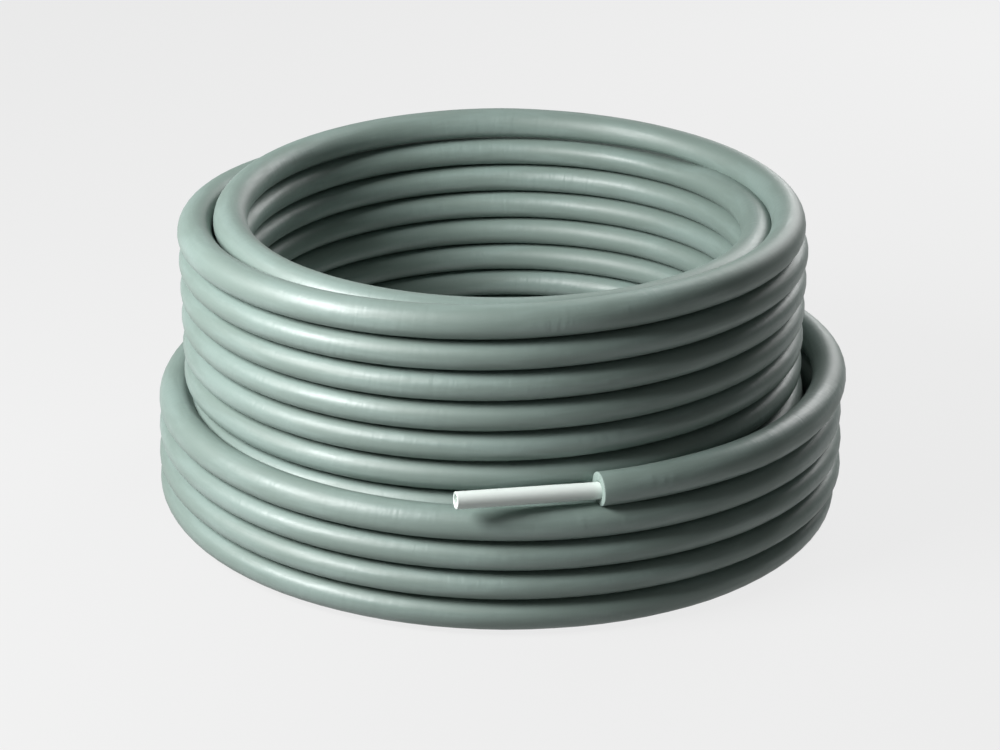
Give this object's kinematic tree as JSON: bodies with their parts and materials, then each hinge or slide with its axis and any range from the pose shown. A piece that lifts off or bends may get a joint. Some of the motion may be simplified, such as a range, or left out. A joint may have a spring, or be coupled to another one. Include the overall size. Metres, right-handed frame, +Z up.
{
  "type": "insulated multilayer pipe coil",
  "caption": "Coil of white multilayer plastic pipe in a grey foam insulation sleeve, standing on its end, with a bare pipe end at the front.",
  "frame": {"origin": "on the floor, under the middle of the part's box, which takes in the bare pipe end; the coil's axis stands 7 mm behind it, towards +Y", "axes": "+Z up along the coil's axis, -Y towards the front, where the sleeve is cut and the bare pipe end comes out"},
  "size_m": [0.6963, 0.7104, 0.3371],
  "materials": {
    "insulation_coil": "grey closed-cell polyethylene foam sleeve with a smooth satin film skin",
    "pipe_end": "smooth white polyethylene with a soft sheen"
  },
  "bodies": {
    "root": {"insulation_coil": "insulation_coil", "pipe_end": "pipe_end"}
  },
  "joints": []
}
